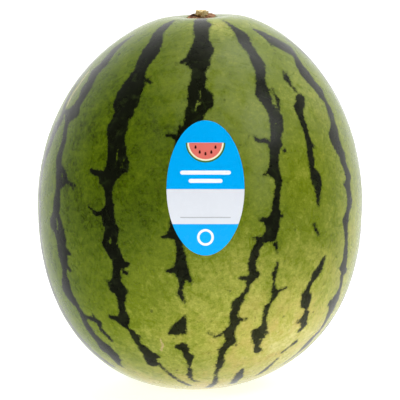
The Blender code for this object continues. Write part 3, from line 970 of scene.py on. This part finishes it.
def stub_material(settings):
    """Dried melon vine, cut with a knife: pale straw cork over brown pith, dull and fibrous.

    It is darker towards its foot, where it meets the collar, and greenish on the cut.
    """
    material, tree, shader = new_material("dried_vine_cut")
    place = add(tree, "ShaderNodeTexCoord").outputs["Object"]
    lumps = add(
        tree, "ShaderNodeTexNoise",
        {"Vector": place, "Scale": per_metre(2.6), "Detail": 5.0, "Roughness": 0.65},
    ).outputs["Fac"]
    fibres_place = add(
        tree, "ShaderNodeMapping", {"Vector": place, "Scale": (1.0, 1.0, 0.22)}
    ).outputs[0]
    fibres = add(
        tree, "ShaderNodeTexNoise",
        {"Vector": fibres_place, "Scale": per_metre(0.8), "Detail": 3.0, "Roughness": 0.6},
    ).outputs["Fac"]
    colour = add(
        tree, "ShaderNodeValToRGB", {"Fac": lumps},
        stops=(
            (0.28, "7A5A2A"), (0.40, "BE9B55"), (0.50, settings.straw), (0.62, "F2E4B4"),
            (0.72, "B4B060"),
        ),
    ).outputs["Color"]
    height = add(tree, "ShaderNodeSeparateXYZ", {"Vector": place}).outputs["Z"]
    foot = add(
        tree, "ShaderNodeMath", {0: fibres, 1: 0.0022, 2: height}, operation="MULTIPLY_ADD"
    ).outputs[0]
    foot = add(
        tree, "ShaderNodeMapRange",
        {"Value": foot, "From Min": STUB_BOX[0].z + 0.0002, "From Max": STUB_BOX[0].z + 0.0014,
         "To Min": 0.8, "To Max": 0.0},
    ).outputs[0]
    colour = add(
        tree, "ShaderNodeMix", {0: foot, 6: colour, 7: linear("2A170C")}, data_type="RGBA"
    ).outputs[2]
    fibre_shade = add(
        tree, "ShaderNodeMapRange",
        {"Value": fibres, "From Min": 0.4, "From Max": 0.62, "To Min": 0.35, "To Max": 0.0},
    ).outputs[0]
    colour = add(
        tree, "ShaderNodeMix", {0: fibre_shade, 6: colour, 7: linear("7A5624")}, data_type="RGBA"
    ).outputs[2]
    tree.links.new(colour, shader.inputs["Base Color"])
    shader.inputs["Roughness"].default_value = 0.8
    shader.inputs["Specular IOR Level"].default_value = 0.3
    both = add(tree, "ShaderNodeMath", {0: lumps, 1: fibres}, operation="ADD").outputs[0]
    bump = add(
        tree, "ShaderNodeBump", {"Strength": 0.8, "Distance": 0.0005, "Height": both}
    ).outputs[0]
    tree.links.new(bump, shader.inputs["Normal"])
    return material


# The sticker.


def outline_depth(across, up, outline):
    """How deep each point lies inside a closed outline, in mm."""
    distance = np.full(len(across), 99.0)
    inside = np.zeros(len(across), bool)
    for (ax, ay), (bx, by) in zip(outline, outline[1:] + outline[:1]):
        dx, dy = bx - ax, by - ay
        along = ((across - ax) * dx + (up - ay) * dy) / (dx * dx + dy * dy)
        along = np.clip(along, 0, 1)
        distance = np.minimum(distance, np.hypot(ax + along * dx - across, ay + along * dy - up))
        if dy:
            crosses = ((ay > up) != (by > up)) & (across < ax + (up - ay) * dx / dy)
            inside ^= crosses
    return np.where(inside, distance, -distance)


def runs_depth(across, up, runs):
    """How deep each point lies inside a run of round-ended strokes, in mm."""
    depth = np.full(len(across), -99.0)
    runs = runs * 2 if len(runs) == 1 else runs
    for (ax, ay, start), (bx, by, end) in zip(runs, runs[1:]):
        dx, dy = bx - ax, by - ay
        along = ((across - ax) * dx + (up - ay) * dy) / max(dx * dx + dy * dy, 1e-9)
        along = np.clip(along, 0, 1)
        distance = np.hypot(ax + along * dx - across, ay + along * dy - up)
        depth = np.maximum(depth, start + (end - start) * along - distance)
    return depth


PRINT_FORMS = {"outline": outline_depth, "runs": runs_depth}


def shape_label(mesh, settings, melon):
    """The oval sheet, laid on the rind as it was pressed on, and where its print lies."""
    columns, rows = 110, 184
    low, high = LABEL_BOX
    middle, half = (low + high) / 2, (high - low) / 2
    shaper = bmesh.new()
    uv = shaper.loops.layers.uv.new("OFBake")
    bmesh.ops.create_grid(shaper, x_segments=columns, y_segments=rows, size=1)
    for face in shaper.faces:
        for loop in face.loops:
            loop[uv].uv = (0.5 + 0.29 * loop.vert.co.x, 0.5 + 0.49 * loop.vert.co.y)
    for vertex in shaper.verts:
        across, up, _ = vertex.co
        x = middle.x + across * math.sqrt(1 - up**2 / 2) * half.x
        z = middle.z + up * math.sqrt(1 - across**2 / 2) * half.z
        _, hit, normal, _ = melon.ray_cast(Vector((x, -2 * BODY_RADIUS, z)), Vector((0, 1, 0)))
        creases = noise.noise(Vector((x, 0, z)) / (13 * MM)) ** 2
        edge = max(across**2, up**2) ** 8
        lift = 0.08 * MM + settings.creases * (creases + 0.6 * edge)
        vertex.co = hit + normal * lift
    shaper.to_mesh(mesh)
    shaper.free()
    points = np.empty(len(mesh.vertices) * 3)
    mesh.vertices.foreach_get("co", points)
    points = points.reshape(-1, 3)
    _, centre, _, _ = melon.ray_cast(
        Vector((middle.x, -2 * BODY_RADIUS, middle.z)), Vector((0, 1, 0))
    )
    slope = math.radians(PRINT_SLOPE)
    across = (points[:, 0] - middle.x) / MM
    up = (points[:, 2] - centre.z) * math.cos(slope) + (points[:, 1] - centre.y) * math.sin(slope)
    for name, _, form, places in PRINT:
        float_attribute(mesh, name, PRINT_FORMS[form](across, up / MM, places))
    mesh.shade_smooth()


def label_material(settings):
    """Coated sticker paper, printed: flat bright inks under a thin even gloss."""
    material, tree, shader = new_material("coated_paper_printed")
    place = add(tree, "ShaderNodeTexCoord").outputs["Object"]
    ink = add(
        tree, "ShaderNodeTexNoise", {"Vector": place, "Scale": per_metre(3), "Detail": 3.0}
    ).outputs["Fac"]
    colour = add(
        tree, "ShaderNodeMix", {0: ink, 6: linear(settings.blue), 7: linear(settings.blue_deep)},
        data_type="RGBA",
    ).outputs[2]
    for name, hex_colour, _, _ in PRINT:
        depth = add(tree, "ShaderNodeAttribute", attribute_name=name).outputs["Fac"]
        printed = add(
            tree, "ShaderNodeMapRange", {"Value": depth, "From Min": -0.12, "From Max": 0.12}
        ).outputs[0]
        colour = add(
            tree, "ShaderNodeMix", {0: printed, 6: colour, 7: linear(hex_colour)}, data_type="RGBA"
        ).outputs[2]
    tree.links.new(colour, shader.inputs["Base Color"])
    gloss = add(
        tree, "ShaderNodeMapRange",
        {"Value": ink, "From Min": 0.3, "From Max": 0.7, "To Min": 0.22, "To Max": 0.3},
    ).outputs[0]
    tree.links.new(gloss, shader.inputs["Roughness"])
    shader.inputs["IOR"].default_value = 1.5
    shader.inputs["Specular IOR Level"].default_value = 0.1
    fibres = add(
        tree, "ShaderNodeTexNoise", {"Vector": place, "Scale": per_metre(0.6), "Detail": 2.0}
    ).outputs["Fac"]
    bump = add(
        tree, "ShaderNodeBump", {"Strength": 0.15, "Distance": 0.00003, "Height": fibres}
    ).outputs[0]
    tree.links.new(bump, shader.inputs["Normal"])
    return material


# The stage.

def floor_material(settings):
    """Opal acrylic sheet, cast and lit from behind: an even glow, with barely any gloss on top."""
    material, tree, shader = new_material("opal_acrylic_backlit")
    place = add(tree, "ShaderNodeTexCoord").outputs["Object"]
    roller = add(
        tree, "ShaderNodeTexNoise", {"Vector": place, "Scale": per_metre(6), "Detail": 3.0}
    ).outputs["Fac"]
    colour = add(
        tree, "ShaderNodeMix", {0: roller, 6: linear(settings.floor), 7: linear("F8F8F8")},
        data_type="RGBA",
    ).outputs[2]
    tree.links.new(colour, shader.inputs["Base Color"])
    shader.inputs["Roughness"].default_value = 0.95
    shader.inputs["Specular IOR Level"].default_value = 0.1
    shader.inputs["Emission Color"].default_value = (1, 1, 1, 1)
    shader.inputs["Emission Strength"].default_value = settings.glow
    return material


def add_light(name, place, aim, size, watts, soft=False):
    light = bpy.data.lights.new(name, "AREA")
    light.shape = "DISK"
    light.size = size
    light.energy = watts
    lamp = bpy.data.objects.new(name, light)
    lamp.location = place
    lamp.rotation_euler = (Vector(aim) - Vector(place)).to_track_quat("-Z", "Y").to_euler()
    lamp.visible_glossy = not soft
    bpy.context.scene.collection.objects.link(lamp)


def room_world(settings):
    """A white room that is dark on the camera's side, so only the outline reflects it."""
    world = bpy.data.worlds.new("room")
    world.use_nodes = True
    tree = world.node_tree
    way = add(tree, "ShaderNodeTexCoord").outputs["Generated"]
    away = add(tree, "ShaderNodeSeparateXYZ", {"Vector": way}).outputs["Y"]
    bright = add(
        tree, "ShaderNodeMapRange",
        {"Value": away, "From Min": -0.1, "From Max": 1.0, "To Min": 0.02 * settings.world,
         "To Max": settings.world},
        interpolation_type="SMOOTHSTEP",
    ).outputs[0]
    room = tree.nodes["Background"]
    room.inputs["Color"].default_value = (1, 1, 1, 1)
    tree.links.new(bright, room.inputs["Strength"])
    return world


def add_camera(settings, aim):
    camera = bpy.data.cameras.new("camera")
    camera.sensor_width = 36.0
    camera.lens = camera.sensor_width * settings.camera_distance / settings.view_width
    camera.clip_end = 100
    viewer = bpy.data.objects.new("camera", camera)
    slope = math.radians(VIEW_HEIGHT_ANGLE)
    back = Vector((0, -math.cos(slope), math.sin(slope)))
    viewer.location = aim + back * settings.camera_distance
    viewer.rotation_euler = (-back).to_track_quat("-Z", "Y").to_euler()
    bpy.context.scene.collection.objects.link(viewer)
    bpy.context.scene.camera = viewer


def place_piece(name, mesh, material):
    piece = bpy.data.objects.new(name, mesh)
    bpy.context.scene.collection.objects.link(piece)
    piece.data.materials.append(material)
    return piece


class MelonSettings(bpy.types.PropertyGroup):
    steps: bpy.props.IntProperty(
        name="Mesh steps", description="Faces along each side of the mesh", default=122, min=8
    )
    dents: bpy.props.FloatProperty(
        name="Dents", description="How far the shallow dents move the skin", default=0.00022,
        unit="LENGTH", precision=5,
    )
    cork_lumps: bpy.props.FloatProperty(
        name="Cork lumps", description="How rough the cork round the stem is", default=0.00035,
        unit="LENGTH", precision=5,
    )
    worn: bpy.props.FloatProperty(
        name="Worn collar", description="How far the cork is worn down in front of the stub",
        default=0.0012, unit="LENGTH", precision=5,
    )
    deep_green: bpy.props.StringProperty(
        name="Deep green", description="sRGB hex of the greenest skin", default="4A5D00"
    )
    field_yellow: bpy.props.StringProperty(
        name="Field spot", description="sRGB hex of the side that lay on the ground",
        default="CFC883",
    )
    stripe_dark: bpy.props.StringProperty(
        name="Stripes", description="sRGB hex of the darkest stripes", default="0C0F05"
    )
    cork: bpy.props.StringProperty(
        name="Cork", description="sRGB hex of the cork round the stem", default="9A7455"
    )


class StubSettings(bpy.types.PropertyGroup):
    rib_depth: bpy.props.FloatProperty(
        name="Rib depth", description="Share of the radius that the ribs rise", default=0.07,
        subtype="FACTOR",
    )
    cup_depth: bpy.props.FloatProperty(
        name="Cup depth", description="How far the cut top sinks in the middle", default=0.0009,
        unit="LENGTH", precision=5,
    )
    roughness: bpy.props.FloatProperty(
        name="Lumps", description="How far the dried lumps stand out", default=0.0006,
        unit="LENGTH", precision=5,
    )
    straw: bpy.props.StringProperty(
        name="Straw", description="sRGB hex of the dried stub", default="E4CF9A"
    )


class LabelSettings(bpy.types.PropertyGroup):
    thickness: bpy.props.FloatProperty(
        name="Thickness", description="Thickness of the sticker", default=0.00015,
        unit="LENGTH", precision=5,
    )
    creases: bpy.props.FloatProperty(
        name="Creases", description="How far the sheet lifts at its creases and edge",
        default=0.0001, unit="LENGTH", precision=5,
    )
    blue: bpy.props.StringProperty(
        name="Blue", description="sRGB hex of the blue ink", default="00AAF2"
    )
    blue_deep: bpy.props.StringProperty(
        name="Deeper blue", description="sRGB hex of the blue ink where it is thicker",
        default="00A2EC",
    )


class StageSettings(bpy.types.PropertyGroup):
    camera_distance: bpy.props.FloatProperty(
        name="Camera distance", description="From the camera to the middle of the fruit",
        default=1.6, unit="LENGTH",
    )
    view_width: bpy.props.FloatProperty(
        name="View width", description="Width of the view at the fruit", default=0.2576,
        unit="LENGTH", precision=4,
    )
    floor: bpy.props.StringProperty(
        name="Floor", description="sRGB hex of the floor", default="F4F4F4"
    )
    glow: bpy.props.FloatProperty(
        name="Floor glow", description="Strength of the light behind the floor", default=0.75
    )
    world: bpy.props.FloatProperty(
        name="Room light", description="Strength of the white room", default=1.7
    )
    top: bpy.props.FloatProperty(
        name="Top lamp", description="Power of the lamp overhead", default=36.0, unit="POWER"
    )
    shoulder: bpy.props.FloatProperty(
        name="Shoulder lamp", description="Power of the lamp above the right shoulder",
        default=6.0, unit="POWER",
    )
    key: bpy.props.FloatProperty(
        name="Right lamp", description="Power of the front right lamp", default=13.0, unit="POWER"
    )
    fill: bpy.props.FloatProperty(
        name="Left lamp", description="Power of the front left lamp", default=11.0, unit="POWER"
    )


class WATERMELON_OT_melon(bpy.types.Operator):
    """Builds the striped rind in place of the plain fruit"""

    bl_idname = "watermelon.melon"
    bl_label = "Melon"

    def execute(self, context):
        settings = context.scene.watermelon_melon
        mesh = bpy.data.meshes.new("rind")
        shape_rind(mesh, settings)
        piece = place_piece("rind", mesh, rind_material(settings))
        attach(piece, BODY)
        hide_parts("melon")
        return {"FINISHED"}


class WATERMELON_OT_stub(bpy.types.Operator):
    """Builds the dried stem stub in place of the plain one"""

    bl_idname = "watermelon.stub"
    bl_label = "Stem stub"

    def execute(self, context):
        settings = context.scene.watermelon_stub
        mesh = bpy.data.meshes.new("dried_stub")
        shape_stub(mesh, settings)
        piece = place_piece("dried_stub", mesh, stub_material(settings))
        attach(piece, BODY)
        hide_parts("stem_stub")
        return {"FINISHED"}


class WATERMELON_OT_label(bpy.types.Operator):
    """Lays the printed sticker on the rind in place of the plain one"""

    bl_idname = "watermelon.label"
    bl_label = "Sticker"

    def execute(self, context):
        settings = context.scene.watermelon_label
        mesh = bpy.data.meshes.new("sticker")
        shape_label(mesh, settings, bpy.data.objects["rind"])
        piece = place_piece("sticker", mesh, label_material(settings))
        paper = piece.modifiers.new("Paper", "SOLIDIFY")
        paper.thickness = settings.thickness
        paper.offset = 1
        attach(piece, BODY)
        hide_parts("label")
        return {"FINISHED"}


class WATERMELON_OT_stage(bpy.types.Operator):
    """Adds the floor, the soft lights and the camera"""

    bl_idname = "watermelon.stage"
    bl_label = "Stage"

    def execute(self, context):
        settings = context.scene.watermelon_stage
        mesh = bpy.data.meshes.new("floor")
        shaper = bmesh.new()
        bmesh.ops.create_grid(shaper, x_segments=4, y_segments=4, size=12)
        shaper.to_mesh(mesh)
        shaper.free()
        floor = bpy.data.objects.new("floor", mesh)
        bpy.context.scene.collection.objects.link(floor)
        floor.data.materials.append(floor_material(settings))
        floor.visible_glossy = False  # a dark front, so that the skin's colour stays deep

        middle = Vector((0, 0, WAIST_HEIGHT + 0.00136))
        add_light("top_lamp", (0.0, 0.3, 2.2), middle, 1.6, settings.top, soft=True)
        add_light("shoulder_lamp", (0.7, 0.3, 1.7), middle, 0.9, settings.shoulder)
        add_light("right_lamp", (1.7, -1.0, 1.7), middle, 1.2, settings.key)
        add_light("left_lamp", (-1.2, -1.7, 0.9), middle, 1.2, settings.fill, soft=True)
        context.scene.world = room_world(settings)
        context.scene.view_settings.view_transform = "Standard"
        add_camera(settings, middle)
        return {"FINISHED"}


class WATERMELON_PT_panel(bpy.types.Panel):
    """Lists the pieces and their settings"""

    bl_idname = "WATERMELON_PT_panel"
    bl_label = "Watermelon"
    bl_space_type = "VIEW_3D"
    bl_region_type = "UI"
    bl_category = "Watermelon"

    def draw(self, context):
        for operator, group in PIECES:
            box = self.layout.box()
            box.operator(operator.bl_idname)
            settings = getattr(context.scene, group)
            for name in settings.__annotations__:
                box.prop(settings, name)


PIECES = (
    (WATERMELON_OT_melon, "watermelon_melon"),
    (WATERMELON_OT_stub, "watermelon_stub"),
    (WATERMELON_OT_label, "watermelon_label"),
    (WATERMELON_OT_stage, "watermelon_stage"),
)
GROUPS = (MelonSettings, StubSettings, LabelSettings, StageSettings)
CLASSES = (*GROUPS, *(operator for operator, _ in PIECES), WATERMELON_PT_panel)


def register():
    for cls in CLASSES:
        bpy.utils.register_class(cls)
    for group, (_, name) in zip(GROUPS, PIECES):
        setattr(bpy.types.Scene, name, bpy.props.PointerProperty(type=group))


def unregister():
    for _, name in PIECES:
        delattr(bpy.types.Scene, name)
    for cls in reversed(CLASSES):
        bpy.utils.unregister_class(cls)


def main():
    register()
    bpy.ops.watermelon.melon()
    bpy.ops.watermelon.stub()
    bpy.ops.watermelon.label()
    bpy.ops.watermelon.stage()


if __name__ == "__main__":
    main()
